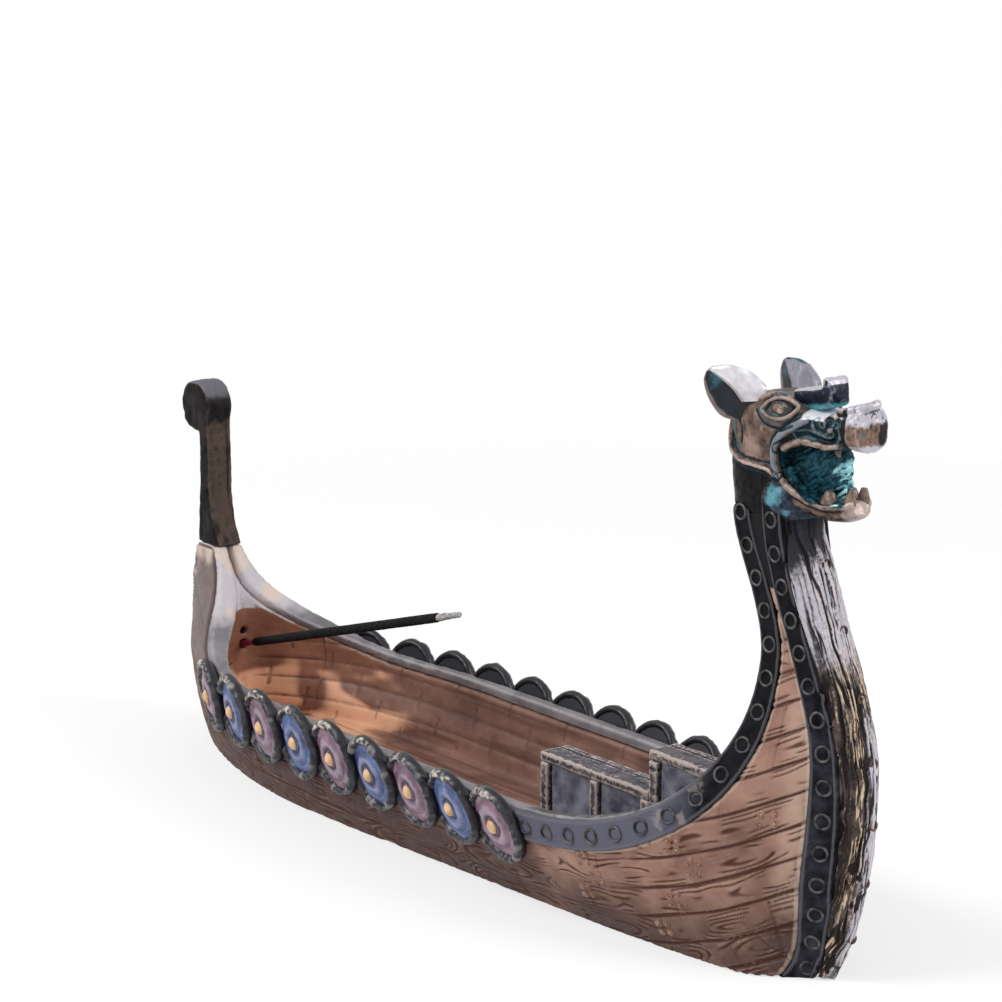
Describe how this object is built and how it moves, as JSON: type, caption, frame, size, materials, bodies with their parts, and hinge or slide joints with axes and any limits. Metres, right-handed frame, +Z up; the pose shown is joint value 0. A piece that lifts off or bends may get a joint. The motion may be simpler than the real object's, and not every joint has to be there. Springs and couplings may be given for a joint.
{
  "type": "incense burner",
  "caption": "Longship-shaped incense burner: planked tray hull with a dragon-headed stem, curled stern post, rows of round shields and a stern hole that holds a slim stick.",
  "frame": {"origin": "on the table under the middle of the bounding box", "axes": "+X to the bow, +Y to port, +Z up"},
  "size_m": [0.2238, 0.0562, 0.1093],
  "materials": {
    "ash": "burnt incense",
    "bench_frame": "hand-painted cast resin, worn",
    "bench_panel": "hand-painted cast resin",
    "blue_board": "hand-painted cast resin",
    "bronze_head": "hand-painted cast resin, bronze with verdigris wash",
    "carved_planks": "hand-painted cast resin, carved wood grain",
    "carved_stem": "hand-painted cast resin, carved",
    "charcoal_post": "hand-painted cast resin",
    "cream_boss": "hand-painted cast resin",
    "dark_band": "hand-painted cast resin",
    "dark_rim": "hand-painted cast resin, dry-brushed",
    "dyed_bamboo": "dyed bamboo",
    "grey_rail": "hand-painted cast resin, dry-brushed",
    "incense_paste": "dry incense paste",
    "mauve_board": "hand-painted cast resin",
    "worn_ring": "hand-painted cast resin, dry-brushed"
  },
  "bodies": {
    "ship": {"bench_panels": "bench_panel", "bench_posts": "bench_frame", "bench_top": "bench_frame", "dragon_crest": "dark_band", "dragon_eyes": "cream_boss", "dragon_jaw": "bronze_head", "dragon_skull": "bronze_head", "dragon_teeth": "cream_boss", "hull_shell": "carved_planks", "port_ear": "bronze_head", "port_rail": "grey_rail", "port_sheer_band": "dark_band", "port_sheer_rings": "worn_ring", "port_shield_1": "mauve_board", "port_shield_2": "blue_board", "port_shield_3": "mauve_board", "port_shield_4": "blue_board", "port_shield_5": "mauve_board", "port_shield_6": "blue_board", "port_shield_7": "mauve_board", "port_shield_8": "blue_board", "port_shield_9": "mauve_board", "port_shield_bosses": "cream_boss", "port_shield_rims": "dark_rim", "port_stem_band": "dark_band", "port_stem_rings": "worn_ring", "starboard_ear": "bronze_head", "starboard_rail": "grey_rail", "starboard_sheer_band": "dark_band", "starboard_sheer_rings": "worn_ring", "starboard_shield_1": "mauve_board", "starboard_shield_2": "blue_board", "starboard_shield_3": "mauve_board", "starboard_shield_4": "blue_board", "starboard_shield_5": "mauve_board", "starboard_shield_6": "blue_board", "starboard_shield_7": "mauve_board", "starboard_shield_8": "blue_board", "starboard_shield_9": "mauve_board", "starboard_shield_bosses": "cream_boss", "starboard_shield_rims": "dark_rim", "starboard_stem_band": "dark_band", "starboard_stem_rings": "worn_ring", "stem_pegs": "carved_stem", "stem_post": "carved_stem", "step_panels": "bench_panel", "step_posts": "bench_frame", "step_top": "bench_frame", "stern_block": "carved_planks", "stern_post": "charcoal_post"},
    "incense_stick": {"stick_core": "dyed_bamboo", "incense_coat": "incense_paste", "ash_tip": "ash"}
  },
  "joints": [
    {"name": "stick_slide", "type": "slide", "parent": "ship", "child": "incense_stick", "axis": [0.9613, 0, 0.2756], "range_m": [0, 0.03]}
  ]
}
